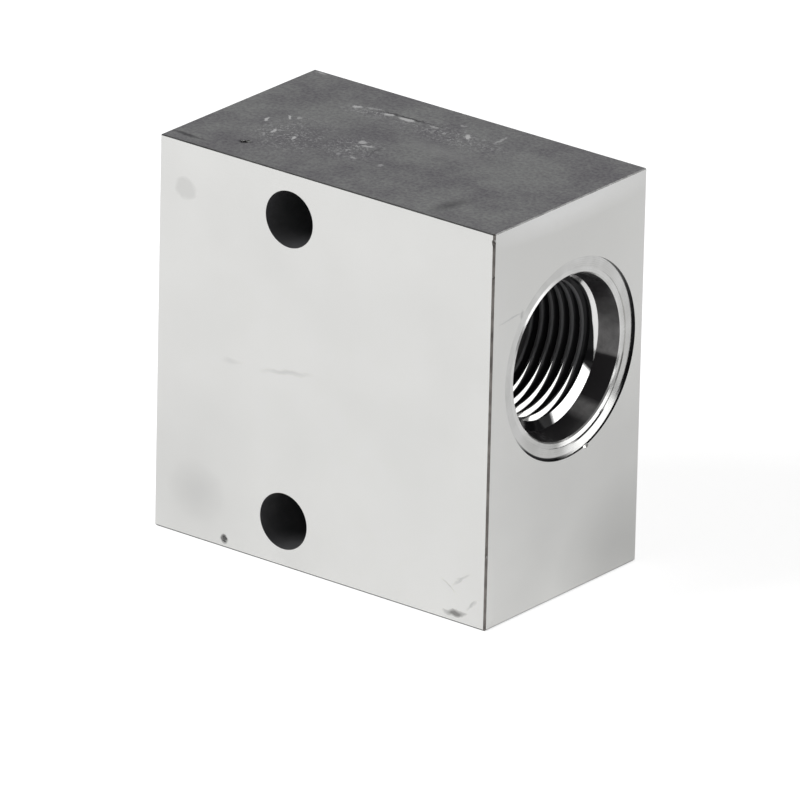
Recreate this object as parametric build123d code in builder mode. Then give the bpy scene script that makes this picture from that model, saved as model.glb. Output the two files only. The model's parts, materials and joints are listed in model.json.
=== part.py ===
"""Hydraulic manifold block: a one-piece aluminium body for one screw-in cartridge valve.

The origin is the centre of the bottom face. +Z is up, +X points out of the cartridge cavity
and +Y points to the back, the face that is bolted to the machine. All sizes are in millimetres.
"""

import os
from math import radians, tan

from build123d import *

# ---- Body, milled all over from flat bar -------------------------------------------------
body_width = 60.0            # X, cavity face to nose port face
body_depth = 35.0            # Y, front face to mounting face
body_height = 60.0           # Z
edge_break = 0.15            # every outer edge is broken at 45 degrees

# ---- Two clearance holes for M8 bolts, right through from front to back --------------------
bolt_hole_dia = 8.5
bolt_from_end = 7.0          # one under the top face, the other over the bottom face
bolt_from_cavity_face = 36.5

# ---- Cartridge cavity, 7/8-14 thread, bored from the right face -----------------------------
cavity_from_top = 24.0       # the axis is set from the top and front faces
cavity_from_front = 18.3

spotface_dia = 30.0          # flat land for the cartridge's hexagon
spotface_depth = 0.5
mouth_break = 0.2            # 45 degree break between the land and the seat

seat_dia = 24.7              # conical seat for the O-ring, at its mouth
seat_angle = 15.0            # each side, from the axis
seat_length = 3.2

thread_minor_dia = 20.4      # the bore that the thread is cut in
thread_end_depth = 16.5      # all depths are measured from the right face

control_bore_dia = 17.5      # the valve's lower seal runs past the side port here
control_bore_lead = 0.8      # 45 degree lead-in under the thread
control_bore_end_depth = 27.0

nose_bore_dia = 15.9         # the valve's nose seals here
nose_bore_end_depth = 33.5

gallery_dia = 12.0           # drilled through to the nose port
drill_angle = 31.0           # floor of a drilled hole, from square

# ---- Side port, in the bottom face -----------------------------------------------------------
side_port_depth_in_cavity = 22.0    # where its gallery opens in the control bore
side_gallery_dia = 9.5

# ---- Pipe ports, G 3/8, the same tooling for both ---------------------------------------------
pipe_spotface_dia = 25.0
pipe_spotface_depth = 0.5
pipe_mouth_dia = 17.2        # countersink, a little over the thread's major diameter
pipe_minor_dia = 15.2
pipe_full_depth = 13.0       # to the start of the drill point

# ---- Positions worked out from the sizes above -----------------------------------------------
cavity_y = cavity_from_front - body_depth / 2
cavity_z = body_height - cavity_from_top
bolt_x = body_width / 2 - bolt_from_cavity_face
bolt_spacing = body_height - 2 * bolt_from_end
side_port_x = body_width / 2 - side_port_depth_in_cavity

# Each plane lies on a face of the block with its normal pointing out of it. A bore's section
# is drawn in the plane through the bore's axis: local X is the radius, local Y is outwards.
front_face = Plane(origin=(bolt_x, -body_depth / 2, body_height / 2), x_dir=(1, 0, 0), z_dir=(0, -1, 0))
cavity_section = Plane(origin=(body_width / 2, cavity_y, cavity_z), x_dir=(0, 0, 1), z_dir=(0, 1, 0))
nose_port_section = Plane(origin=(-body_width / 2, cavity_y, cavity_z), x_dir=(0, 0, 1), z_dir=(0, -1, 0))
side_port_section = Plane(origin=(side_port_x, cavity_y, 0), x_dir=(0, 1, 0), z_dir=(-1, 0, 0))


def outward_axis(section):
    """The axis of the bore whose section is drawn in this plane."""
    return Axis(section.origin, section.y_dir)


def cavity_outline():
    """Half section of the cavity as (radius, depth) points, from the right face inwards."""
    land_depth = spotface_depth
    seat_start = land_depth + mouth_break
    seat_end = seat_start + seat_length
    seat_end_radius = seat_dia / 2 - seat_length * tan(radians(seat_angle))
    thread_start = seat_end + seat_end_radius - thread_minor_dia / 2
    control_start = thread_end_depth + control_bore_lead
    nose_start = control_bore_end_depth + (control_bore_dia - nose_bore_dia) / 2
    floor_end = nose_bore_end_depth + (nose_bore_dia - gallery_dia) / 2 * tan(radians(drill_angle))
    return [
        (0, 0),
        (spotface_dia / 2, 0),
        (spotface_dia / 2, land_depth),
        (seat_dia / 2 + mouth_break, land_depth),
        (seat_dia / 2, seat_start),
        (seat_end_radius, seat_end),
        (thread_minor_dia / 2, thread_start),
        (thread_minor_dia / 2, thread_end_depth),
        (control_bore_dia / 2, control_start),
        (control_bore_dia / 2, control_bore_end_depth),
        (nose_bore_dia / 2, nose_start),
        (nose_bore_dia / 2, nose_bore_end_depth),
        (gallery_dia / 2, floor_end),
        (gallery_dia / 2, body_width),
        (0, body_width),
    ]


def pipe_port_outline():
    """Half section of a pipe port as (radius, depth) points, from its face inwards."""
    mouth_end = pipe_spotface_depth + (pipe_mouth_dia - pipe_minor_dia) / 2
    point_end = pipe_full_depth + pipe_minor_dia / 2 * tan(radians(drill_angle))
    return [
        (0, 0),
        (pipe_spotface_dia / 2, 0),
        (pipe_spotface_dia / 2, pipe_spotface_depth),
        (pipe_mouth_dia / 2, pipe_spotface_depth),
        (pipe_minor_dia / 2, mouth_end),
        (pipe_minor_dia / 2, pipe_full_depth),
        (0, point_end),
    ]


# The three turned bores: the section plane of each, and its outline.
turned_bores = [
    (cavity_section, cavity_outline()),
    (nose_port_section, pipe_port_outline()),
    (side_port_section, pipe_port_outline()),
]

with BuildPart() as manifold_block:
    # The milled bar, with its edges broken before anything is bored.
    Box(body_width, body_depth, body_height, align=(Align.CENTER, Align.CENTER, Align.MIN))
    chamfer(manifold_block.edges(), length=edge_break)

    # Mounting holes, drilled right through.
    with Locations(front_face):
        with GridLocations(bolt_spacing, bolt_spacing, 1, 2):
            Hole(radius=bolt_hole_dia / 2)

    # The side gallery, drilled from the bottom face up to the cavity's axis.
    with BuildSketch(Plane.XY):
        with Locations((side_port_x, cavity_y)):
            Circle(side_gallery_dia / 2)
    extrude(amount=cavity_z, mode=Mode.SUBTRACT)

    # The cavity and the pipe ports, each turned about its own axis.
    for section, outline in turned_bores:
        with BuildSketch(section):
            with BuildLine():
                Polyline([(radius, -depth) for radius, depth in outline], close=True)
            make_face()
        revolve(axis=outward_axis(section), mode=Mode.SUBTRACT)

manifold_block.part.label = "manifold_block"

os.makedirs("parts", exist_ok=True)
export_step(manifold_block.part, "parts/manifold_block.step")
print("manifold_block volume", round(manifold_block.part.volume, 1), "mm3")
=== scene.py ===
import json
from math import cos, pi, radians, sin, tan

import bpy
from mathutils import Matrix, Vector


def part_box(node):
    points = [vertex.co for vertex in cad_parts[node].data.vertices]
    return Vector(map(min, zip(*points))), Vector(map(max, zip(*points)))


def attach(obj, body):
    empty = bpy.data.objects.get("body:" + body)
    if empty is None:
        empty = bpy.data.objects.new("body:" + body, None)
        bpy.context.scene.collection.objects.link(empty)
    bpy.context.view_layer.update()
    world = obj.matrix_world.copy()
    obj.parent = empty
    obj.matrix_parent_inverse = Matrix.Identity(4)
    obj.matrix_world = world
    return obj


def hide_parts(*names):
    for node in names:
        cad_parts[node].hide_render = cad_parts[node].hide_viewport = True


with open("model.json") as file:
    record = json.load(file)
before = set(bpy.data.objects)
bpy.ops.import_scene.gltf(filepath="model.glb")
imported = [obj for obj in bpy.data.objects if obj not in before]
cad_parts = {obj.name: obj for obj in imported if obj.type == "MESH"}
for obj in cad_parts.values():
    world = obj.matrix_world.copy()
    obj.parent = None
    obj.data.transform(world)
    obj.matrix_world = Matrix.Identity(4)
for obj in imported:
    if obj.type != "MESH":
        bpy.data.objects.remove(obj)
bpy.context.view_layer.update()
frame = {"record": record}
print("frame loaded")

mm = 0.001                         # sizes below are in millimetres, as on the drawing
blockLow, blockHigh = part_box("manifold_block")
blockMiddle = (blockLow + blockHigh) / 2
mounts = {mount["name"]: mount for mount in frame["record"]["mounts"]}


def deselectAll():
    if bpy.context.mode != "OBJECT":
        bpy.ops.object.mode_set(mode="OBJECT")
    bpy.ops.object.select_all(action="DESELECT")


def pick(piece):
    deselectAll()
    piece.select_set(True)
    bpy.context.view_layer.objects.active = piece


# The camera stands far off with a long lens, a little to the right and above.
lookFrom = {
    "azimuth": 37.77,              # degrees round from the front face towards the cavity
    "elevation": 21.83,
    "roll": 1.32,                  # the camera leans a little
    "distance": 1980.3,
    "lens": 626.6,
    "aimRight": 0.16,              # the frame's middle, beside and below the block's own
    "aimUp": -7.39,
    "clipEnd": 20000.0,
}


def addCamera(look):
    around, above, lean = (radians(look[part]) for part in ("azimuth", "elevation", "roll"))
    back = Vector((sin(around) * cos(above), -cos(around) * cos(above), sin(above)))
    level = Vector((0, 0, 1)).cross(back).normalized()
    upright = back.cross(level)
    right = cos(lean) * level + sin(lean) * upright
    up = cos(lean) * upright - sin(lean) * level
    aim = blockMiddle + (right * look["aimRight"] + up * look["aimUp"]) * mm
    turn = Matrix((right, up, back)).transposed()
    deselectAll()
    bpy.ops.object.camera_add(location=aim + back * look["distance"] * mm, rotation=turn.to_euler())
    camera = bpy.context.object
    camera.data.lens = look["lens"]
    camera.data.clip_end = look["clipEnd"] * mm
    bpy.context.scene.camera = camera


addCamera(lookFrom)
bpy.context.scene.view_settings.view_transform = "Standard"
print("camera set")


def toLinear(hexColour):
    parts = [int(hexColour[i:i + 2], 16) / 255 for i in (1, 3, 5)]
    return [c / 12.92 if c <= 0.04045 else ((c + 0.055) / 1.055) ** 2.4 for c in parts] + [1]


def addNode(tree, kind, settings, links):
    # settings and links go by socket name or number; any other setting is the node's own
    node = tree.nodes.new(kind)
    for name, value in settings.items():
        if str(value).startswith("#"):
            value = toLinear(value)
        if isinstance(name, int) or name in node.inputs:
            node.inputs[name].default_value = value
        else:
            setattr(node, name, value)
    for name, source in links.items():
        tree.links.new(source, node.inputs[name])
    return node


def newMaterial(name):
    material = bpy.data.materials.new(name)
    material.use_nodes = True
    material.node_tree.nodes.clear()
    return material, material.node_tree


# Floor, lamps and the room that the metal mirrors; places and lamp sizes here are in metres.
studio = {
    "floorSize": 12,
    "floorColour": "#E8E8E8",
    "glowForCamera": 0.80,         # the sweep reads white, and a soft shadow stays on it
    "glowForMetal": 0.48,
    "roomLevel": 0.25,             # dim room above the sweep, as the metal mirrors it
    "keyPower": 15.0,
    "keyPlace": (-0.95, -1.20, 0.98),
    "keySize": (0.9, 0.9),
    "sidePower": 10.7,             # wide softbox on the cavity's side, clear of the horizon
    "sidePlace": (1.045, 0.161, 0.729),
    "sideSize": (2.66, 0.854),
}


# White paper sweep: matt and even, so that it shows only the block's soft shadow.
def addFloor(look):
    deselectAll()
    bpy.ops.mesh.primitive_plane_add(size=look["floorSize"], location=(0, 0, blockLow.z))
    floor = bpy.context.object
    floor.name = "paleFloor"
    material, tree = newMaterial("whiteSweep")
    rays = addNode(tree, "ShaderNodeLightPath", {}, {})
    mirrored = addNode(tree, "ShaderNodeMath", {"operation": "MAXIMUM"},
                       {0: rays.outputs["Is Glossy Ray"], 1: rays.outputs["Is Transmission Ray"]})
    metalGlow = addNode(tree, "ShaderNodeMath", {"operation": "MULTIPLY", 1: look["glowForMetal"]},
                        {0: mirrored.outputs[0]})
    glow = addNode(tree, "ShaderNodeMath", {"operation": "MULTIPLY_ADD", 1: look["glowForCamera"]},
                   {0: rays.outputs["Is Camera Ray"], 2: metalGlow.outputs[0]})
    paper = addNode(tree, "ShaderNodeBsdfDiffuse", {"Color": look["floorColour"]}, {})
    light = addNode(tree, "ShaderNodeEmission", {}, {"Strength": glow.outputs[0]})
    both = addNode(tree, "ShaderNodeAddShader", {}, {0: paper.outputs[0], 1: light.outputs[0]})
    addNode(tree, "ShaderNodeOutputMaterial", {}, {"Surface": both.outputs[0]})
    floor.data.materials.append(material)


def addSoftbox(name, place, size, power):
    place = Vector(place)
    deselectAll()
    turn = (place - blockMiddle).to_track_quat("Z", "Y").to_euler()
    bpy.ops.object.light_add(type="AREA", location=place, rotation=turn)
    lamp = bpy.context.object
    lamp.name = name
    lamp.data.energy = power
    lamp.data.shape = "RECTANGLE"
    lamp.data.size, lamp.data.size_y = size
    lamp.visible_camera = False
    return lamp


def setWorld(look):
    world = bpy.data.worlds.new("studioRoom")
    bpy.context.scene.world = world
    world.use_nodes = True
    tree = world.node_tree
    tree.nodes.clear()
    rays = addNode(tree, "ShaderNodeLightPath", {}, {})
    level = addNode(tree, "ShaderNodeMapRange", {"To Min": look["roomLevel"], "To Max": 1.0},
                    {"Value": rays.outputs["Is Camera Ray"]})
    room = addNode(tree, "ShaderNodeBackground", {}, {"Strength": level.outputs["Result"]})
    addNode(tree, "ShaderNodeOutputWorld", {}, {"Surface": room.outputs[0]})


addFloor(studio)
setWorld(studio)
keyLamp = addSoftbox("keySoftbox", studio["keyPlace"], studio["keySize"], studio["keyPower"])
keyLamp.visible_glossy = False     # it lights the sweep; the metal mirrors only the side softbox
sideLamp = addSoftbox("sideSoftbox", studio["sidePlace"], studio["sideSize"], studio["sidePower"])
sideLamp.visible_diffuse = False   # and this one only shows in the metal
print("studio set")

# The block: sizes the mounts don't give. Depths are measured from the face that a bore enters.
blockSizes = {
    "edgeBreak": 0.15,
    "filedBreak": 0.3,             # the front right-hand edge and the bottom edges were filed harder
    "spotfaceRadius": 15.0,
    "spotfaceDepth": 0.36,
    "faceRingRadius": 13.3,        # the form tool leaves a ring a hair deeper round the mouth
    "faceRingDepth": 0.5,
    "seatStart": 0.7,              # after a 45 degree break between the ring and the seat
    "seatRadius": 12.35,
    "seatAngle": 15.0,
    "seatLength": 3.2,
    "threadEnd": 16.5,
    "controlRadius": 8.75,
    "controlLead": 0.8,
    "controlEnd": 27.0,
    "noseEnd": 33.5,
    "galleryRadius": 6.0,
    "sideGalleryRadius": 4.75,
    "drillAngle": 31.0,
    "drillTip": 0.5,
    "overshoot": 1.0,              # how far a cutter stands out of the face it enters
    "clearance": 0.05,             # how far a tap's section reaches into the open bore
    "tapStop": 0.2,                # a tap stops this far short of its bore's end
    "segments": 192,
    "holeSegments": 96,
}
seatEnd = blockSizes["seatStart"] + blockSizes["seatLength"]
seatEndRadius = blockSizes["seatRadius"] - blockSizes["seatLength"] * tan(radians(blockSizes["seatAngle"]))

pipeSizes = {
    "spotfaceRadius": 12.5,
    "spotfaceDepth": 0.5,
    "mouthRadius": 8.6,
    "fullDepth": 13.0,
    "segments": 128,
}

# Cartridge thread 7/8-14 and pipe thread G 3/8: pitch, root radius in the wall, half flank angle,
# how far the crests are broken at 45 degrees, and where round the bore the groove starts.
cavityThread = {"pitch": 1.814, "rootRadius": 11.11, "flank": 30.0, "rootFlat": 0.22,
                "crestBreak": 0.26, "start": -56.0}
pipeThread = {"pitch": 1.337, "rootRadius": 8.33, "flank": 27.5, "rootFlat": 0.16,
              "crestBreak": 0.12, "start": 0.0}

# Knocks in the metal: where (mm, in the block's frame), half sizes and a turn in degrees.
knocks = [
    {"at": (-17.2, -17.5, 1.4), "size": (0.6, 0.14, 0.45), "turn": (0, 15, 0), "seed": 3},
    {"at": (-19.1, -11.9, 60.0), "size": (0.8, 0.5, 0.16), "turn": (0, 0, 25), "seed": 5},
    {"at": (29.9, -17.45, 58.8), "size": (0.35, 0.3, 0.6), "turn": (0, 0, 0), "seed": 2},
    {"at": (29.95, -17.45, 53.6), "size": (0.3, 0.25, 0.4), "turn": (0, 0, 0), "seed": 7},
    {"at": (29.95, -17.45, 11.8), "size": (0.3, 0.25, 0.7), "turn": (0, 0, 0), "seed": 4},
    {"at": (29.55, 9.0, 25.5), "size": (0.25, 0.5, 0.2), "turn": (38, 0, 0), "seed": 6},
    {"at": (29.95, 5.0, 21.4), "size": (0.3, 0.6, 0.35), "turn": (16, 0, 0), "seed": 8},
]
knockUnevenness = {"offset": 0.25, "uniform": 0.6}


def turnCutter(name, rings, mouth, outward, segments):
    # a disc at the mouth, extruded and scaled from ring to ring; rings are (radius, depth)
    deselectAll()
    radius, depth = rings[0]
    bpy.ops.mesh.primitive_circle_add(
        vertices=segments, radius=radius * mm, fill_type="NGON",
        location=mouth - outward * depth * mm, rotation=outward.to_track_quat("Z", "Y").to_euler())
    cutter = bpy.context.object
    cutter.name = name
    bpy.ops.object.mode_set(mode="EDIT")
    for nextRadius, nextDepth in rings[1:]:
        step = -outward * (nextDepth - depth) * mm
        bpy.ops.mesh.extrude_region_move(TRANSFORM_OT_translate={"value": step})
        grow = nextRadius / radius
        bpy.ops.transform.resize(value=(grow,) * 3, center_override=mouth - outward * nextDepth * mm)
        radius, depth = nextRadius, nextDepth
    bpy.ops.mesh.select_all(action="SELECT")
    bpy.ops.mesh.normals_make_consistent(inside=False)
    bpy.ops.object.mode_set(mode="OBJECT")
    bpy.ops.object.transform_apply(location=True, rotation=True, scale=True)
    return cutter


def cutWith(piece, cutter, operation="DIFFERENCE"):
    pick(piece)
    bpy.ops.object.modifier_add(type="BOOLEAN")
    cut = piece.modifiers[-1]
    cut.operation = operation
    cut.solver = "MANIFOLD"
    cut.object = cutter
    bpy.ops.object.modifier_apply(modifier=cut.name)
    bpy.data.objects.remove(cutter)


def selectPoints(piece, chosen):
    bpy.ops.object.mode_set(mode="EDIT")
    bpy.ops.mesh.select_mode(type="VERT")
    bpy.ops.mesh.select_all(action="DESELECT")
    bpy.ops.object.mode_set(mode="OBJECT")
    for vertex in piece.data.vertices:
        vertex.select = chosen(vertex.co)
    bpy.ops.object.mode_set(mode="EDIT")


def threadCutter(name, thread, boreRadius, first, last, mouth, outward, segments):
    # one groove section swept up a right-hand helix, then trimmed by the tap's own tapered outline
    pitch, root = thread["pitch"], thread["rootRadius"]
    clearance = blockSizes["clearance"]
    shoulder = boreRadius + thread["crestBreak"]
    inner = boreRadius - clearance
    rootHalf = thread["rootFlat"] / 2
    shoulderHalf = rootHalf + (root - shoulder) * tan(radians(thread["flank"]))
    innerHalf = shoulderHalf + shoulder - inner
    turns = int((last - first) / pitch) + 3    # spare turns run past both ends, for the tap to trim
    middle = (shoulder + root) / 2 * mm
    deselectAll()
    bpy.ops.mesh.primitive_plane_add(size=1, location=(middle, 0, 0), rotation=(radians(90), 0, 0))
    cutter = bpy.context.object
    cutter.name = name
    cutter.scale = ((root - shoulder) * mm, shoulderHalf * 2 * mm, 1)
    bpy.ops.object.transform_apply(location=True, rotation=True, scale=True)
    selectPoints(cutter, lambda point: point.x > middle)
    bpy.ops.transform.resize(value=(1, 1, rootHalf / shoulderHalf), center_override=(root * mm, 0, 0))
    selectPoints(cutter, lambda point: point.x < middle)
    bpy.ops.mesh.extrude_region_move(TRANSFORM_OT_translate={"value": ((inner - shoulder) * mm, 0, 0)})
    bpy.ops.transform.resize(value=(1, 1, innerHalf / shoulderHalf), center_override=(inner * mm, 0, 0))
    selectPoints(cutter, lambda point: abs(point.x - shoulder * mm) < 0.01 * mm)
    bpy.ops.mesh.dissolve_edges(use_verts=False)
    bpy.ops.mesh.select_all(action="SELECT")
    bpy.ops.mesh.delete(type="ONLY_FACE")
    bpy.ops.object.mode_set(mode="OBJECT")
    bpy.ops.object.modifier_add(type="SCREW")
    sweep = cutter.modifiers[-1]
    sweep.axis = "Z"
    sweep.angle = radians(360)
    sweep.screw_offset = pitch * mm
    sweep.iterations = turns
    sweep.steps = sweep.render_steps = segments
    bpy.ops.object.modifier_apply(modifier=sweep.name)
    bpy.ops.object.mode_set(mode="EDIT")
    bpy.ops.mesh.select_all(action="SELECT")
    bpy.ops.mesh.remove_doubles(threshold=0.001 * mm)
    bpy.ops.mesh.fill_holes(sides=0)
    bpy.ops.mesh.select_all(action="SELECT")
    bpy.ops.mesh.normals_make_consistent(inside=False)
    bpy.ops.object.mode_set(mode="OBJECT")
    turn = outward.to_track_quat("Z", "Y").to_matrix().to_4x4()
    cutter.matrix_world = (Matrix.Translation(mouth - outward * (last + pitch) * mm) @ turn
                           @ Matrix.Rotation(radians(thread["start"]), 4, "Z"))
    bpy.ops.object.transform_apply(location=True, rotation=True, scale=True)
    outline = [
        (root + 2 * clearance, first),
        (root + 2 * clearance, last - 2 * pitch),
        (boreRadius - 2 * clearance, last),
    ]
    cutWith(cutter, turnCutter("tapOutline", outline, mouth, outward, segments), "INTERSECT")
    return cutter


def boreAt(name):
    # where a mount's bore meets the block's face, the way out of it, and its radius in millimetres
    mount = mounts[name]
    point, outward = Vector(mount["pos_m"]), Vector(mount["axis"])
    corner = Vector([blockHigh[i] if outward[i] > 0 else blockLow[i] for i in range(3)])
    return point + outward * (corner - point).dot(outward), outward, mount["dims"].get("r_mm")


def onCorner(point):
    # whether a point lies where two or three of the block's faces still meet
    gaps = [min(point[i] - blockLow[i], blockHigh[i] - point[i]) for i in range(3)]
    return sum(gap < 0.001 * mm for gap in gaps) >= 2


def isFiled(start, end):
    # the bottom edges and the front right-hand edge
    return all(point.z < blockMiddle.z or (point.x > blockMiddle.x and point.y < blockMiddle.y)
               for point in (start, end))


def isSharp(start, end):
    # a top edge or an upright one that the first pass left alone
    onTop = start.z + end.z > 2 * (blockHigh.z - mm)
    upright = abs(start.z - end.z) > 2 * mm
    return onCorner(start) and onCorner(end) and (onTop or upright)


def breakEdges(block, width, chosen):
    selectPoints(block, lambda point: False)
    bpy.ops.mesh.select_mode(type="EDGE")
    bpy.ops.object.mode_set(mode="OBJECT")
    for edge in block.data.edges:
        edge.select = chosen(*(block.data.vertices[i].co for i in edge.vertices))
    bpy.ops.object.mode_set(mode="EDIT")
    bpy.ops.mesh.bevel(offset=width * mm, offset_type="OFFSET", segments=1, affect="EDGES")
    bpy.ops.object.mode_set(mode="OBJECT")


def addBlock(sizes):
    deselectAll()
    bpy.ops.mesh.primitive_cube_add(size=1, location=blockMiddle, scale=blockHigh - blockLow)
    block = bpy.context.object
    block.name = "machinedBlock"
    bpy.ops.object.transform_apply(location=True, rotation=True, scale=True)
    breakEdges(block, sizes["filedBreak"], isFiled)
    breakEdges(block, sizes["edgeBreak"], isSharp)
    return block


def boreCavity(block, sizes):
    mouth, outward, minor = boreAt("cartridge_thread")
    noseBore = boreAt("cartridge_nose_bore")[2]
    floorEnd = sizes["noseEnd"] + (noseBore - sizes["galleryRadius"]) * tan(radians(sizes["drillAngle"]))
    rings = [
        (sizes["spotfaceRadius"], -sizes["overshoot"]),
        (sizes["spotfaceRadius"], sizes["spotfaceDepth"]),
        (sizes["faceRingRadius"], sizes["spotfaceDepth"]),
        (sizes["faceRingRadius"], sizes["faceRingDepth"]),
        (sizes["seatRadius"] + sizes["seatStart"] - sizes["faceRingDepth"], sizes["faceRingDepth"]),
        (sizes["seatRadius"], sizes["seatStart"]),
        (seatEndRadius, seatEnd),
        (minor, seatEnd + seatEndRadius - minor),
        (minor, sizes["threadEnd"]),
        (sizes["controlRadius"], sizes["threadEnd"] + sizes["controlLead"]),
        (sizes["controlRadius"], sizes["controlEnd"]),
        (noseBore, sizes["controlEnd"] + sizes["controlRadius"] - noseBore),
        (noseBore, sizes["noseEnd"]),
        (sizes["galleryRadius"], floorEnd),
        (sizes["galleryRadius"], blockWidth - pipeSizes["fullDepth"] / 2),
    ]
    cutWith(block, turnCutter("cavityCutter", rings, mouth, outward, sizes["segments"]))
    cutWith(block, threadCutter("cavityTap", cavityThread, minor, seatEnd - sizes["overshoot"],
                                sizes["threadEnd"] - sizes["tapStop"], mouth, outward, sizes["segments"]))


def borePipePort(block, sizes, name):
    mouth, outward, minor = boreAt(name)
    tip = blockSizes["drillTip"]
    rings = [
        (sizes["spotfaceRadius"], -blockSizes["overshoot"]),
        (sizes["spotfaceRadius"], sizes["spotfaceDepth"]),
        (sizes["mouthRadius"], sizes["spotfaceDepth"]),
        (minor, sizes["spotfaceDepth"] + sizes["mouthRadius"] - minor),
        (minor, sizes["fullDepth"]),
        (tip, sizes["fullDepth"] + (minor - tip) * tan(radians(blockSizes["drillAngle"]))),
    ]
    cutWith(block, turnCutter(name + "Cutter", rings, mouth, outward, sizes["segments"]))
    cutWith(block, threadCutter(name + "Tap", pipeThread, minor, -blockSizes["overshoot"],
                                sizes["fullDepth"] - blockSizes["tapStop"], mouth, outward,
                                sizes["segments"]))


def drillThrough(block, name, radius, mouth, outward, length, segments):
    rings = [(radius, -blockSizes["overshoot"]), (radius, length)]
    cutWith(block, turnCutter(name, rings, mouth, outward, segments))


def knock(block, mark):
    # a small uneven pit, struck by another part on the bench
    deselectAll()
    bpy.ops.mesh.primitive_ico_sphere_add(subdivisions=2, radius=1)
    dent = bpy.context.object
    bpy.ops.object.mode_set(mode="EDIT")
    bpy.ops.transform.vertex_random(seed=mark["seed"], **knockUnevenness)
    bpy.ops.object.mode_set(mode="OBJECT")
    dent.scale = Vector(mark["size"]) * mm
    dent.rotation_euler = [radians(part) for part in mark["turn"]]
    dent.location = Vector(mark["at"]) * mm
    bpy.ops.object.transform_apply(location=True, rotation=True, scale=True)
    cutWith(block, dent)


blockWidth = (blockHigh.x - blockLow.x) / mm
blockThickness = (blockHigh.y - blockLow.y) / mm
cavityMouth, cavityOut, cavityRadius = boreAt("cartridge_thread")
sideMouth, sideOut, sideRadius = boreAt("side_port")
noseMouth, noseOut, noseRadius = boreAt("nose_port")
boltHoles = [boreAt(name) for name in ("upper_bolt_hole", "lower_bolt_hole")]

block = addBlock(blockSizes)
print("block milled")
boreCavity(block, blockSizes)
print("cavity bored and tapped")
drillThrough(block, "sideGallery", blockSizes["sideGalleryRadius"], sideMouth, sideOut,
             (cavityMouth.z - blockLow.z) / mm, pipeSizes["segments"])
for portName in ("nose_port", "side_port"):
    borePipePort(block, pipeSizes, portName)
print("ports bored and tapped")
for mouth, outward, radius in boltHoles:
    drillThrough(block, "boltHole", radius, mouth, outward, blockThickness + blockSizes["overshoot"],
                 blockSizes["holeSegments"])
print("mounting holes drilled")
for mark in knocks:
    knock(block, mark)

pick(block)
bpy.ops.object.shade_smooth_by_angle(angle=radians(20))
print("edges knocked")

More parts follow.
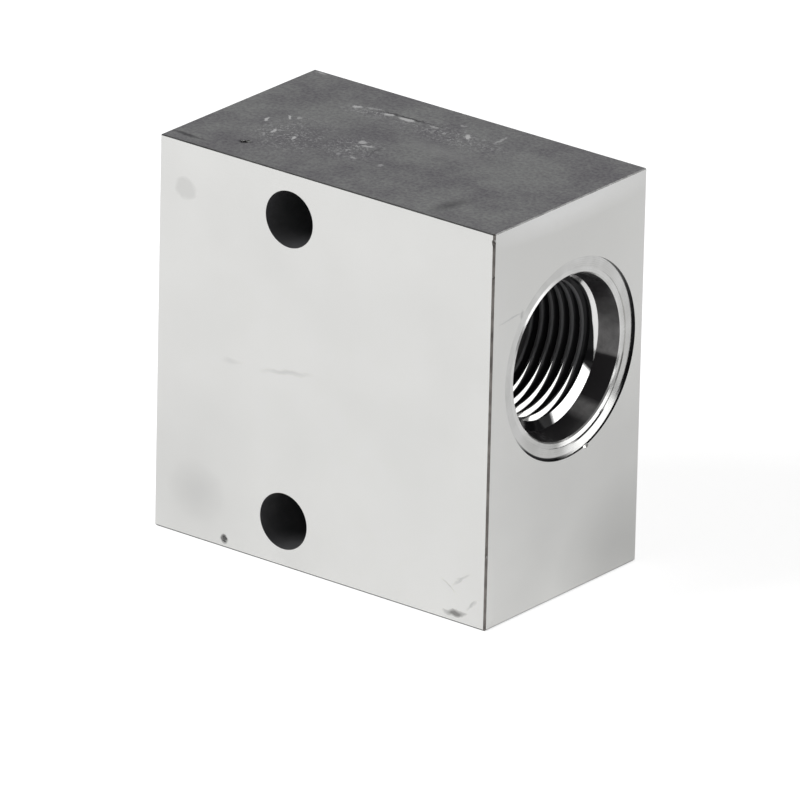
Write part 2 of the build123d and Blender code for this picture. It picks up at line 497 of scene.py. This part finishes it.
# Finishes. All of them are the same bare aluminium alloy; the tool that cut each face sets its look, and
# several also carry painted shade and painted highlights, noted at each.
# Marks are, in mm in the block's frame: where, half sizes, turn in degrees, colour, strength, and how
# much of the mark is solid before it fades. Specks and dust are where, half sizes, turn and strength.
# Stops are (degrees, value) round the cavity: 0 is to the back, 90 is down.
finishes = {
    # front, back and bottom: bright and smooth, so they mirror the pale sweep softly
    "milled": {
        "colour": "#EFEFED", "dark": "#E8E8E6", "roughness": 0.2, "laySpacing": 0.45, "patchSize": 16,
        "wander": (1.6, 1.2),
        "marks": [
            ((-25.3, -17.5, 53.0), (2.1, 3, 1.9), (0, 0, 0), "#D2D2D0", 0.5, 0.7),
            ((-22.4, -17.5, 7.4), (5.5, 3, 5.0), (0, 0, 0), "#C8C8C7", 0.45, 0.2),
            # painted shade: the lower left of the front face drawn darker
            ((-24, -17.5, 8), (15, 3, 18), (0, 0, 0), "#D6D6D4", 0.45, 0.1),
            ((-6.6, -17.5, 29.7), (5.6, 3, 0.6), (0, -10, 0), "#C4C4C3", 0.42, 0.2),
            ((-16.4, -17.5, 28.9), (2.4, 3, 0.5), (0, -8, 0), "#CFCFCE", 0.3, 0.2),
            ((24.6, -17.5, 1.5), (2.4, 3, 0.6), (0, -6, 0), "#5E5C5A", 0.75, 0.3),
            ((25.6, -17.5, 6.8), (2.4, 3, 0.3), (0, -38, 0), "#BDBDBC", 0.5, 0.2),
            ((23.4, -17.5, 5.4), (2.0, 3, 0.25), (0, 30, 0), "#C6C6C5", 0.5, 0.2),
            ((27.6, -17.5, 3.4), (1.6, 3, 0.25), (0, -50, 0), "#B4B4B3", 0.5, 0.2),
            ((-17.2, -17.5, 1.4), (0.85, 3, 0.65), (0, 20, 0), "#262626", 0.85, 0.5),
        ],
    },
    # left and right: milled the same way, but drawn a shade greyer as painted shade, with patches of painted
    # light and shade and a few marks
    "ends": {
        "colour": "#E7E7E5", "dark": "#DFDFDD", "roughness": 0.2, "laySpacing": 0.45, "patchSize": 16,
        "wander": (1.6, 1.2),
        "marks": [
            # darker over the upper part of the right face
            ((30, 0, 62), (3, 40, 26), (0, 0, 0), "#D6D6D4", 0.7, 0.3),
            # painted highlight along the top edge of the right face
            ((30, 0, 59.6), (3, 24, 3.6), (-1, 0, 0), "#F0F0F0", 0.6, 0.3),
            # painted shade low at the back of the right face
            ((30, 14, 2), (3, 16, 14), (0, 0, 0), "#BEBEBC", 0.55, 0.2),
            ((30, -13.0, 46.2), (3, 3.6, 0.2), (2, 0, 0), "#BABABA", 0.45, 0.3),
            ((30, -10.7, 45.6), (3, 0.4, 1.4), (0, 0, 0), "#A8A8A8", 0.5, 0.3),
        ],
    },
    # top: matt from handling, so it shows the dim room as an even grey
    "dulled": {
        "colour": "#F6F8F6", "dark": "#BCB8C0", "roughness": 0.34, "patchSize": 7, "grain": 0.55,
        "dustGrain": 0.32, "wander": (0.9, 1.1),
        "marks": [
            ((4, 3.5, 60), (11, 2.4, 3), (0, 0, -4), "#FFFFFF", 0.45, 0.1),
            ((-14, -6, 60), (12, 8, 3), (0, 0, 20), "#B0ACB4", 0.35, 0.1),
            ((18.2, -12.4, 60), (1.8, 4.6, 3), (0, 0, -12), "#7E7C82", 0.6, 0.1),
            ((-27, -15.2, 60), (4.2, 0.6, 3), (0, 0, -3), "#6E6C72", 0.75, 0.2),
            ((-3.0, -2.6, 60), (0.5, 3.4, 3), (0, 0, 2), "#8E8C92", 0.5, 0.1),
            ((-7.5, 10.75, 60), (8.0, 0.4, 3), (0, 0, 2), "#6E6C72", 0.85, 0.2),
            ((-19.1, -11.9, 60), (1.2, 0.8, 3), (0, 0, 20), "#060606", 0.95, 0.6),
        ],
        "specks": [
            ((-15.9, 9.6, 60), (0.9, 0.5, 3), (0, 0, 25), 0.9),
            ((-13.4, 10.5, 60), (1.6, 0.35, 3), (0, 0, 14), 0.6),
            ((-10.5, 10.0, 60), (1.0, 0.5, 3), (0, 0, 10), 1.0),
            ((-7.4, 10.1, 60), (1.7, 0.5, 3), (0, 0, 0), 1.0),
            ((-2.6, 10.3, 60), (1.1, 0.4, 3), (0, 0, -15), 0.6),
            ((0.0, 9.3, 60), (0.5, 0.35, 3), (0, 0, -30), 0.6),
            ((3.5, 10.4, 60), (0.55, 1.1, 3), (0, 0, 30), 1.0),
            ((7.8, 12.4, 60), (0.3, 2.2, 3), (0, 0, 4), 0.55),
            ((0.2, 13.5, 60), (0.8, 0.4, 3), (0, 0, 0), 0.5),
            ((-6.4, -1.2, 60), (0.75, 0.85, 3), (0, 0, -20), 0.8),
            ((-5.0, -2.0, 60), (1.2, 0.35, 3), (0, 0, 20), 0.8),
            ((-20.5, -0.2, 60), (0.3, 0.9, 3), (0, 0, 40), 0.9),
            ((-19.2, 0.4, 60), (0.3, 0.9, 3), (0, 0, 5), 0.5),
            ((-22.5, -2.9, 60), (0.35, 1.0, 3), (0, 0, 20), 1.0),
            ((-18.7, -5.9, 60), (0.35, 1.2, 3), (0, 0, 12), 0.9),
            ((-14.9, -6.2, 60), (0.35, 1.0, 3), (0, 0, 35), 1.0),
            ((-19.2, -7.8, 60), (0.35, 0.9, 3), (0, 0, 25), 0.5),
            ((-6.1, -7.0, 60), (0.5, 0.5, 3), (0, 0, 0), 0.5),
            ((-3.6, -6.7, 60), (0.6, 0.5, 3), (0, 0, 0), 0.6),
            ((1.1, -6.6, 60), (0.35, 0.8, 3), (0, 0, 10), 0.5),
            ((-28.2, 16.9, 60), (1.2, 0.4, 3), (0, 0, 0), 0.5),
        ],
        "dust": [
            ((-16, -6, 60), (9, 10, 3), (0, 0, 20), 0.5),
            ((-6, -4, 60), (7, 6, 3), (0, 0, 0), 0.6),
            ((2, 9, 60), (16, 4.5, 3), (0, 0, 0), 0.55),
            ((-13, 9, 60), (6, 2.5, 3), (0, 0, 10), 0.7),
        ],
    },
    # spotface round the cavity: fine turned rings, whose sides flash in fans as shallow cones do
    "turned": {
        "colour": "#DEDEDD", "dark": "#C6C6C4", "roughness": 0.18, "patchSize": 5,
        "ringSpacing": 0.3, "ringDepth": 0.002,
        "flashes": [(33, [(30, 0), (42, 0.9), (78, 0.9), (95, 0)])],     # lean in degrees, and stops
        "soot": "#1E1E20",                         # painted shade by the step walls: where it starts and is full, in mm from the axis
        "grime": [(14.5, 14.62, [(82, 0), (98, 1), (128, 1), (146, 0)]),
                  (13.62, 13.5, [(48, 0), (54, 1), (78, 1), (86, 0)])],
    },
    # inner ring and broken mouth: cut by a finer tool, so paler, with a fan on either side
    "faceRing": {
        "colour": "#E4E4E3", "dark": "#CECECC", "roughness": 0.18, "patchSize": 5,
        "ringSpacing": 0.3, "ringDepth": 0.002,
        "flashes": [(33, [(24, 0), (38, 1), (80, 1), (108, 0.2), (120, 0.2), (121, 0)]),
                    (-33, [(120, 0), (121, 0.2), (150, 0.2), (190, 0.9), (238, 0.8), (258, 0)])],
    },
    # walls of the steps, and the bottom edges: painted shade, dark so that they read as thin shaded lines
    "stepWall": {"colour": "#2A2A2C", "dark": "#161618", "roughness": 0.3, "metal": 1.0, "patchSize": 2},
    # O-ring seat: painted shade, nearly black, with two streaked grey patches of painted reflection
    "seat": {
        "colour": "#E0DEDE", "dark": "#464446", "roughness": 0.2, "bare": False, "shine": 0.5,
        "smear": (1.6, 0.6),                       # size of its streaks, and the least that they leave
        "clean": [(-30, 0), (-14, 0.35), (-2, 0.85), (15, 1), (17, 0), (48, 0), (54, 0.8), (62, 0.6),
                  (68, 0)],
    },
    # thread: painted shade over its upper flanks, and bright crescents on the lower flanks as painted
    # highlights
    "tapped": {
        "colour": "#E2E2E0", "dark": "#363638", "roughness": 0.1, "bare": True, "shine": 0.12,
        "taper": 80,                               # degrees of turn for each mm out from the crests
        "lag": (9.0, 14.4, 9.0), "fade": 0.4,      # first and last depth, and degrees at the last
        "crest": (10.45, "#8C8C8E"),               # painted glint on the crests inside this radius, in this colour
        "clean": [(29, 0), (33, 1), (92, 1), (97, 0)],
    },
    # lead-in cone: painted highlight along its rim and in one broad patch, and painted shade elsewhere
    "leadIn": {
        "colour": "#F4F4F3", "dark": "#262628", "roughness": 0.1, "bare": True, "shine": 0.12, "taper": 4,
        "clean": [(-90, 1), (16, 1), (18, 0), (24, 0), (27, 1), (74, 1), (79, 0), (240, 0), (255, 1)],
        "width": [(-90, 0.34), (-50, 0.42), (-10, 0.58), (6, 0.36), (18, 0.02), (23, 1.4), (95, 1.4),
                  (269, 0.3)],                     # of the painted highlight band, in from the cone's rim
    },
    # spotfaces of the pipe ports: turned rings, without the fans
    "pipeLand": {
        "colour": "#E2E2E1", "dark": "#CACAC8", "roughness": 0.22, "patchSize": 5,
        "ringSpacing": 0.3, "ringDepth": 0.002,
    },
    # pipe threads: tapped and left dry, so every flank is bright
    "pipeThread": {"colour": "#C4C4C3", "dark": "#8E8E90", "roughness": 0.18, "metal": 1.0, "patchSize": 2},
    # drilled holes and galleries: a dark grey non-metal without a metal's glint, as painted shade for the
    # holes' depths
    "drilled": {"colour": "#6E6E70", "dark": "#606062", "roughness": 0.35, "metal": 0.0, "patchSize": 3},
    # broken edges at the top and the back: a greyer metal than the faces, so a thin grey line
    "edge": {"colour": "#B4B4B3", "dark": "#808080", "roughness": 0.28, "metal": 1.0, "patchSize": 2},
    # the filed front edge: a darker metal still, so a darker line
    "dullEdge": {"colour": "#8E8A86", "dark": "#5A5755", "roughness": 0.3, "metal": 1.0, "patchSize": 2},
}
mixFirst, mixSecond, mixOut = 6, 7, 2      # a Mix node's colour sockets, which share their names


def bandScale(spacing):
    return 2 * pi / (20 * spacing)  # a wave texture's bands repeat every 2 pi / 20 of a unit


def inMillimetres(tree, origin=(0, 0, 0)):
    place = addNode(tree, "ShaderNodeTexCoord", {}, {})
    return addNode(tree, "ShaderNodeMapping",
                   {"Location": [-part / mm for part in origin], "Scale": (1 / mm,) * 3},
                   {"Vector": place.outputs["Object"]}).outputs[0]


def patches(tree, coords, size, detail, low, high):
    # soft uneven patches about this many millimetres across, from 0 to 1
    noise = addNode(tree, "ShaderNodeTexNoise", {"Scale": 1 / size, "Detail": detail, "Roughness": 0.6},
                    {"Vector": coords})
    return addNode(tree, "ShaderNodeMapRange", {"From Min": low, "From Max": high},
                   {"Value": noise.outputs["Fac"]}).outputs[0]


def markMask(tree, coords, place, size, turn, strength, core):
    # a soft ellipsoid that fades out at its own half sizes
    local = addNode(tree, "ShaderNodeMapping",
                    {"vector_type": "TEXTURE", "Location": place, "Scale": size,
                     "Rotation": [radians(part) for part in turn]}, {"Vector": coords})
    reach = addNode(tree, "ShaderNodeVectorMath", {"operation": "LENGTH"}, {0: local.outputs[0]})
    return addNode(tree, "ShaderNodeMapRange", {"From Min": 1.0, "From Max": core, "To Max": strength},
                   {"Value": reach.outputs["Value"]}).outputs[0]


def wandering(tree, coords, size, reach):
    # moves a pattern's points about, so that marks get uneven outlines
    noise = addNode(tree, "ShaderNodeTexNoise", {"Scale": 1 / size, "Detail": 2.0}, {"Vector": coords})
    shift = addNode(tree, "ShaderNodeVectorMath",
                    {"operation": "MULTIPLY_ADD", 1: (reach,) * 3, 2: (-reach / 2,) * 3},
                    {0: noise.outputs["Color"]})
    return addNode(tree, "ShaderNodeVectorMath", {"operation": "ADD"},
                   {0: coords, 1: shift.outputs[0]}).outputs[0]


def addMarks(tree, coords, colour, marks):
    for place, size, turn, tint, strength, core in marks:
        mask = markMask(tree, coords, place, size, turn, strength, core)
        colour = addNode(tree, "ShaderNodeMix", {"data_type": "RGBA", mixSecond: tint},
                         {0: mask, mixFirst: colour}).outputs[mixOut]
    return colour


# Face-milled aluminium: bright, with hair-fine tool lines that only just show, drawn coarser than
# the real ones.
def milledAluminium(look, name):
    material, tree = newMaterial(name)
    coords = inMillimetres(tree)
    soft = patches(tree, coords, look["patchSize"], 3, 0.25, 0.75)
    lay = addNode(tree, "ShaderNodeTexWave",
                  {"bands_direction": "Z", "Scale": bandScale(look["laySpacing"]), "Distortion": 0.6,
                   "Detail": 2.0, "Detail Scale": 0.4}, {"Vector": coords}).outputs["Fac"]
    shade = addNode(tree, "ShaderNodeMath", {"operation": "MULTIPLY_ADD", 1: 0.25}, {0: lay, 2: soft})
    tone = addNode(tree, "ShaderNodeMix",
                   {"data_type": "RGBA", mixFirst: look["dark"], mixSecond: look["colour"]},
                   {0: shade.outputs[0]}).outputs[mixOut]
    colour = addMarks(tree, wandering(tree, coords, *look["wander"]), tone, look["marks"])
    bump = addNode(tree, "ShaderNodeBump", {"Strength": 0.3, "Distance": 0.002 * mm}, {"Height": lay})
    metal = addNode(tree, "ShaderNodeBsdfPrincipled", {"Metallic": 1.0, "Roughness": look["roughness"]},
                    {"Base Color": colour, "Normal": bump.outputs[0]})
    addNode(tree, "ShaderNodeOutputMaterial", {}, {"Surface": metal.outputs[0]})
    return material


# Aluminium dulled in the open: matt and mottled, with dried white coolant in specks and dust.
def dulledAluminium(look, name):
    material, tree = newMaterial(name)
    coords = inMillimetres(tree)
    broad = patches(tree, coords, look["patchSize"], 3, 0.35, 0.65)
    fine = patches(tree, coords, look["grain"], 2, 0.35, 0.65)
    shade = addNode(tree, "ShaderNodeMix", {0: 0.5}, {2: broad, 3: fine})
    tone = addNode(tree, "ShaderNodeMix",
                   {"data_type": "RGBA", mixFirst: look["dark"], mixSecond: look["colour"]},
                   {0: shade.outputs[0]}).outputs[mixOut]
    uneven = wandering(tree, coords, *look["wander"])
    worn = addMarks(tree, uneven, tone, look["marks"])
    chalk = [markMask(tree, uneven, *speck, 0.6) for speck in look["specks"]]
    grains = patches(tree, coords, look["dustGrain"], 1, 0.55, 0.63)
    for cloud in look["dust"]:
        chalk.append(addNode(tree, "ShaderNodeMath", {"operation": "MULTIPLY"},
                             {0: grains, 1: markMask(tree, uneven, *cloud, 0.2)}).outputs[0])
    white = chalk[0]
    for spot in chalk[1:]:
        white = addNode(tree, "ShaderNodeMath", {"operation": "MAXIMUM"}, {0: white, 1: spot}).outputs[0]
    colour = addNode(tree, "ShaderNodeMix", {"data_type": "RGBA", mixSecond: "#FFFFFF"},
                     {0: white, mixFirst: worn}).outputs[mixOut]
    bare = addNode(tree, "ShaderNodeMath", {"operation": "SUBTRACT", 0: 1.0}, {1: white})
    bump = addNode(tree, "ShaderNodeBump", {"Strength": 0.5, "Distance": 0.012 * mm}, {"Height": fine})
    metal = addNode(tree, "ShaderNodeBsdfPrincipled", {"Roughness": look["roughness"]},
                    {"Base Color": colour, "Metallic": bare.outputs[0], "Normal": bump.outputs[0]})
    addNode(tree, "ShaderNodeOutputMaterial", {}, {"Surface": metal.outputs[0]})
    return material


def acrossBore(tree, centre, outward):
    # the arm from the bore's axis to the point, in millimetres
    coords = inMillimetres(tree, centre)
    flat = [1 - abs(part) for part in outward]
    return addNode(tree, "ShaderNodeVectorMath", {"operation": "MULTIPLY", 1: flat}, {0: coords}).outputs[0]


def turnRound(tree, arm, lags):
    # how far round the cavity a point lies, less any lags in degrees; from 0 to 1, starting at the top
    parts = addNode(tree, "ShaderNodeSeparateXYZ", {}, {0: arm})
    down = addNode(tree, "ShaderNodeMath", {"operation": "MULTIPLY", 1: -1.0}, {0: parts.outputs[2]})
    angle = addNode(tree, "ShaderNodeMath", {"operation": "ARCTAN2"},
                    {0: down.outputs[0], 1: parts.outputs[1]})
    degrees = addNode(tree, "ShaderNodeMath", {"operation": "MULTIPLY_ADD", 1: 180 / pi, 2: 90.0},
                      {0: angle.outputs[0]}).outputs[0]
    for lag in lags:
        degrees = addNode(tree, "ShaderNodeMath", {"operation": "SUBTRACT"}, {0: degrees, 1: lag}).outputs[0]
    turn = addNode(tree, "ShaderNodeMath", {"operation": "DIVIDE", 1: 360.0}, {0: degrees})
    return addNode(tree, "ShaderNodeMath", {"operation": "FRACT"}, {0: turn.outputs[0]}).outputs[0]


def aroundBore(tree, turned, stops):
    # a value set by stops round the cavity, scaled to a ramp from 0 to 1 and back
    values = [value for degrees, value in stops]
    low, high = min(values), max(values)
    ramp = addNode(tree, "ShaderNodeValToRGB", {}, {0: turned})
    points = ramp.color_ramp.elements
    while len(points) < len(stops):
        points.new(0.5)
    for point, (degrees, value) in zip(points, stops):
        point.position = (degrees + 90) / 360
        point.color = [(value - low) / (high - low)] * 3 + [1]
    return addNode(tree, "ShaderNodeMapRange", {"To Min": low, "To Max": high},
                   {"Value": ramp.outputs[0]}).outputs[0]


# Turned aluminium: fine rings left by the cutter, with painted shade along some of the step walls.
def turnedAluminium(look, name, centre, outward):
    material, tree = newMaterial(name)
    arm = acrossBore(tree, centre, outward)
    reach = addNode(tree, "ShaderNodeVectorMath", {"operation": "LENGTH"}, {0: arm}).outputs["Value"]
    ringPoint = addNode(tree, "ShaderNodeCombineXYZ", {}, {0: reach})
    rings = addNode(tree, "ShaderNodeTexWave",
                    {"bands_direction": "X", "Scale": bandScale(look["ringSpacing"])},
                    {"Vector": ringPoint.outputs[0]}).outputs["Fac"]
    soft = patches(tree, arm, look["patchSize"], 3, 0.3, 0.7)
    shade = addNode(tree, "ShaderNodeMath", {"operation": "MULTIPLY_ADD", 1: 0.3}, {0: rings, 2: soft})
    tone = addNode(tree, "ShaderNodeMix",
                   {"data_type": "RGBA", mixFirst: look["dark"], mixSecond: look["colour"]},
                   {0: shade.outputs[0]}).outputs[mixOut]
    # painted shade: dark arcs beside the step walls, over part of the way round
    for start, full, stops in look.get("grime", []):
        corner = addNode(tree, "ShaderNodeMapRange", {"From Min": start, "From Max": full}, {"Value": reach})
        shadedArc = addNode(tree, "ShaderNodeMath", {"operation": "MULTIPLY"},
                         {0: corner.outputs[0], 1: aroundBore(tree, turnRound(tree, arm, []), stops)})
        tone = addNode(tree, "ShaderNodeMix", {"data_type": "RGBA", mixSecond: look["soot"]},
                       {0: shadedArc.outputs[0], mixFirst: tone}).outputs[mixOut]
    bump = addNode(tree, "ShaderNodeBump", {"Strength": 0.4, "Distance": look["ringDepth"] * mm},
                   {"Height": rings}).outputs[0]
    settings = {"Metallic": 1.0, "Roughness": look["roughness"]}
    shader = addNode(tree, "ShaderNodeBsdfPrincipled", settings,
                     {"Base Color": tone, "Normal": bump}).outputs[0]
    for lean, stops in look.get("flashes", []):
        # the rings' sides, which lean this many degrees in towards the axis, over part of the way round
        fan = aroundBore(tree, turnRound(tree, arm, []), stops)
        radial = addNode(tree, "ShaderNodeVectorMath", {"operation": "NORMALIZE"}, {0: arm})
        aside = addNode(tree, "ShaderNodeVectorMath", {"operation": "SCALE", "Scale": -tan(radians(lean))},
                        {0: radial.outputs[0]})
        leaning = addNode(tree, "ShaderNodeVectorMath", {"operation": "ADD"}, {0: bump, 1: aside.outputs[0]})
        normal = addNode(tree, "ShaderNodeVectorMath", {"operation": "NORMALIZE"}, {0: leaning.outputs[0]})
        flash = addNode(tree, "ShaderNodeBsdfPrincipled", settings,
                        {"Base Color": tone, "Normal": normal.outputs[0]})
        shader = addNode(tree, "ShaderNodeMixShader", {},
                         {0: fan, 1: shader, 2: flash.outputs[0]}).outputs[0]
    addNode(tree, "ShaderNodeOutputMaterial", {}, {"Surface": shader})
    return material


# Aluminium with painted shade and highlights: a dark non-metal tone stands in for shade, apart from the
# sectors painted bright where highlights fall.
def shadeAndHighlightAluminium(look, name, centre, outward):
    material, tree = newMaterial(name)
    arm = acrossBore(tree, centre, outward)
    reach = addNode(tree, "ShaderNodeVectorMath", {"operation": "LENGTH"}, {0: arm}).outputs["Value"]
    lags = []
    if "taper" in look:
        # draws the highlight bands out to points, from the crests to the roots
        lags.append(addNode(tree, "ShaderNodeMapRange",
                            {"clamp": False, "From Min": cavityRadius, "From Max": cavityRadius + 1,
                             "To Max": look["taper"]}, {"Value": reach}).outputs[0])
    if "lag" in look:
        # and lets them set in later, the deeper they lie
        first, last, most = look["lag"]
        depth = addNode(tree, "ShaderNodeVectorMath", {"operation": "DOT_PRODUCT", 1: -outward},
                        {0: inMillimetres(tree, centre)}).outputs["Value"]
        lags.append(addNode(tree, "ShaderNodeMapRange", {"From Min": first, "From Max": last, "To Max": most},
                            {"Value": depth}).outputs[0])
    turned = turnRound(tree, arm, lags)
    cuts = []
    if "smear" in look:
        size, least = look["smear"]
        smear = patches(tree, inMillimetres(tree), size, 3, 0.3, 0.7)
        cuts.append(addNode(tree, "ShaderNodeMapRange", {"To Min": least}, {"Value": smear}).outputs[0])
    if "lag" in look:
        cuts.append(addNode(tree, "ShaderNodeMapRange", {"From Min": last + look["fade"], "From Max": last},
                            {"Value": depth}).outputs[0])
    if "width" in look:
        inset = addNode(tree, "ShaderNodeMath", {"operation": "SUBTRACT", 0: seatEndRadius}, {1: reach})
        over = addNode(tree, "ShaderNodeMath", {"operation": "SUBTRACT"},
                       {0: inset.outputs[0], 1: aroundBore(tree, turned, look["width"])})
        cuts.append(addNode(tree, "ShaderNodeMapRange", {"From Min": 0.04, "From Max": -0.04},
                            {"Value": over.outputs[0]}).outputs[0])
    clean = aroundBore(tree, turned, look["clean"])
    for cut in cuts:
        clean = addNode(tree, "ShaderNodeMath", {"operation": "MULTIPLY"}, {0: clean, 1: cut}).outputs[0]
    tone = addNode(tree, "ShaderNodeMix",
                   {"data_type": "RGBA", mixFirst: look["dark"], mixSecond: look["colour"]}, {0: clean})
    if "crest" in look:
        # painted glint: the crests show as thin lighter lines
        foot, glintTone = look["crest"]
        glintMask = addNode(tree, "ShaderNodeMapRange", {"From Min": foot, "From Max": foot - 0.05},
                      {"Value": reach})
        shadeWithGlints = addNode(tree, "ShaderNodeMix",
                      {"data_type": "RGBA", mixFirst: look["dark"], mixSecond: glintTone}, {0: glintMask.outputs[0]})
        tree.links.new(shadeWithGlints.outputs[mixOut], tone.inputs[mixFirst])
    links = {"Base Color": tone.outputs[mixOut]}
    if look["bare"]:
        links["Metallic"] = clean      # only the painted highlight sectors are shaded as metal
    sectorShader = addNode(tree, "ShaderNodeBsdfPrincipled",
                   {"Metallic": 0.0, "Roughness": look["roughness"], "Specular IOR Level": look["shine"]},
                   links)
    addNode(tree, "ShaderNodeOutputMaterial", {}, {"Surface": sectorShader.outputs[0]})
    return material


# Plainly cut aluminium: an uneven tone and one roughness, for the small faces.
def plainAluminium(look, name):
    material, tree = newMaterial(name)
    soft = patches(tree, inMillimetres(tree), look["patchSize"], 3, 0.3, 0.7)
    tone = addNode(tree, "ShaderNodeMix",
                   {"data_type": "RGBA", mixFirst: look["dark"], mixSecond: look["colour"]}, {0: soft})
    plain = addNode(tree, "ShaderNodeBsdfPrincipled",
                    {"Metallic": look["metal"], "Roughness": look["roughness"]},
                    {"Base Color": tone.outputs[mixOut]})
    addNode(tree, "ShaderNodeOutputMaterial", {}, {"Surface": plain.outputs[0]})
    return material


block.data.materials.clear()
slots = {}
for slotName, build, bore in (
        ("milled", milledAluminium, ()),
        # the sides: a greyer copy of the milled finish, as painted shade
        ("ends", milledAluminium, ()),
        ("dulled", dulledAluminium, ()),
        ("turned", turnedAluminium, (cavityMouth, cavityOut)),
        ("faceRing", turnedAluminium, (cavityMouth, cavityOut)),
        ("stepWall", plainAluminium, ()),
        ("seat", shadeAndHighlightAluminium, (cavityMouth, cavityOut)),
        ("tapped", shadeAndHighlightAluminium, (cavityMouth, cavityOut)),
        ("leadIn", shadeAndHighlightAluminium, (cavityMouth, cavityOut)),
        ("nosePipeLand", turnedAluminium, (noseMouth, noseOut)),
        ("sidePipeLand", turnedAluminium, (sideMouth, sideOut)),
        ("pipeThread", plainAluminium, ()),
        ("drilled", plainAluminium, ()),
        ("edge", plainAluminium, ()),
        ("dullEdge", plainAluminium, ())):
    slots[slotName] = len(block.data.materials)
    look = finishes["pipeLand" if slotName.endswith("PipeLand") else slotName]
    block.data.materials.append(build(look, slotName + "Aluminium", *bore))


# Limits that choose the faces of each finish, in millimetres.
skin = 0.02                        # anything deeper than this is in a bore, and not on its mouth's face
slack = 0.05                       # the flat faces of a round wall lie a little inside its radius
edgeReach = 0.75                   # the knocks in the filed front edge stay this near to it
landDepth = 0.6                    # a little more than any spotface's depth
pointDepth = 6.0                   # and more than any drill point's
wallMiddle = (blockSizes["faceRingRadius"] + blockSizes["spotfaceRadius"]) / 2
throatRadius = seatEndRadius + 2 * slack     # everything nearer the axis is lead-in, thread or bore
leadInEnd = seatEnd + seatEndRadius - cavityRadius
threadLimit = blockSizes["threadEnd"] + 1.5
innerRadius = 10.0                 # wider than the bores behind the thread, and narrower than the thread


def coat(slotName, chosen):
    # faces are chosen by their place and normal, then given the finish
    pick(block)
    bpy.ops.object.mode_set(mode="EDIT")
    bpy.ops.mesh.select_mode(type="FACE")
    bpy.ops.mesh.select_all(action="DESELECT")
    bpy.ops.object.mode_set(mode="OBJECT")
    for face in block.data.polygons:
        face.select = chosen(face.center, face.normal)
    block.active_material_index = slots[slotName]
    bpy.ops.object.mode_set(mode="EDIT")
    bpy.ops.object.material_slot_assign()
    bpy.ops.object.mode_set(mode="OBJECT")


def coatBore(slotName, mouth, outward, chosen):
    # here they are chosen by depth and distance from the axis, both in millimetres, and by normal
    def inBore(centre, normal):
        away = centre - mouth
        depth = -away.dot(outward)
        return chosen(depth / mm, (away + outward * depth).length / mm, normal)
    coat(slotName, inBore)


def onEdge(centre, normal):
    gaps = [min(centre[i] - blockLow[i], blockHigh[i] - centre[i]) for i in range(3)]
    return (max(abs(part) for part in normal) < 0.9
            and sum(gap < blockSizes["filedBreak"] * mm for gap in gaps) >= 2)


def isFrontEdge(centre, normal):
    # the filed edge and the knocks in it
    reach = max(blockHigh.x - centre.x, centre.y - blockLow.y)
    return max(abs(part) for part in normal) < 0.97 and reach < edgeReach * mm


def inRing(depth, radius, normal):
    return depth < blockSizes["seatStart"] and radius < blockSizes["faceRingRadius"] and normal.x > 0.1


def inStepWall(depth, radius, normal):
    # painted shade on all of the spotface's wall, but only on the lower back part of the inner one
    return depth < blockSizes["seatStart"] and normal.x < 0.1 and (
        radius > wallMiddle or (normal.z > 0.72 and normal.y < 0.1))


def inSeat(depth, radius, normal):
    return blockSizes["seatStart"] <= depth < seatEnd and radius > seatEndRadius - slack


def inLeadIn(depth, radius, normal):
    # the 45 degree cone, but not the thread's run-out across it
    return (seatEnd <= depth < leadInEnd + 2 * slack and abs(normal.x - cos(radians(45))) < 0.02
            and abs(depth + radius - seatEnd - seatEndRadius) < slack)


# Where a face is chosen twice, the later finish stays.
coat("milled", lambda centre, normal: True)
coat("ends", lambda centre, normal: abs(normal.x) > 0.9)
coat("dulled", lambda centre, normal: normal.z > 0.9 and centre.z > blockHigh.z - 0.2 * mm)
coat("edge", onEdge)
# painted shade along the bottom edges
coat("stepWall", lambda centre, normal: onEdge(centre, normal) and normal.z < -0.5)
coat("dullEdge", isFrontEdge)
for slotName, chosen in (
        ("turned", lambda depth, radius, normal: depth < blockSizes["seatStart"]),
        ("faceRing", inRing),
        ("stepWall", inStepWall),
        ("seat", inSeat),
        ("tapped", lambda depth, radius, normal: seatEnd <= depth < threadLimit and radius < throatRadius),
        ("leadIn", inLeadIn),
        ("drilled", lambda depth, radius, normal: threadLimit <= depth and radius < innerRadius)):
    coatBore(slotName, cavityMouth, cavityOut, lambda depth, radius, normal: (
        skin < depth < blockWidth - landDepth and radius < blockSizes["spotfaceRadius"] + slack
        and chosen(depth, radius, normal)))
for landName, mouth, outward, minor in (("nosePipeLand", noseMouth, noseOut, noseRadius),
                                        ("sidePipeLand", sideMouth, sideOut, sideRadius)):
    coatBore(landName, mouth, outward, lambda depth, radius, normal: (
        skin < depth < landDepth and radius < pipeSizes["spotfaceRadius"] + slack))
    coatBore("pipeThread", mouth, outward, lambda depth, radius, normal: (
        pipeSizes["spotfaceDepth"] + skin < depth < pipeSizes["fullDepth"] + pointDepth
        and radius < pipeSizes["mouthRadius"] + skin))
    coatBore("drilled", mouth, outward, lambda depth, radius, normal: (
        pipeSizes["fullDepth"] < depth and radius < minor + skin and abs(normal.dot(outward)) < 0.95))
for mouth, outward, holeRadius in boltHoles:
    coatBore("drilled", mouth, outward, lambda depth, radius, normal: (
        abs(normal.y) < 0.5 and radius < holeRadius + slack))

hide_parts("manifold_block")
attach(block, "root")
print("finishes on")
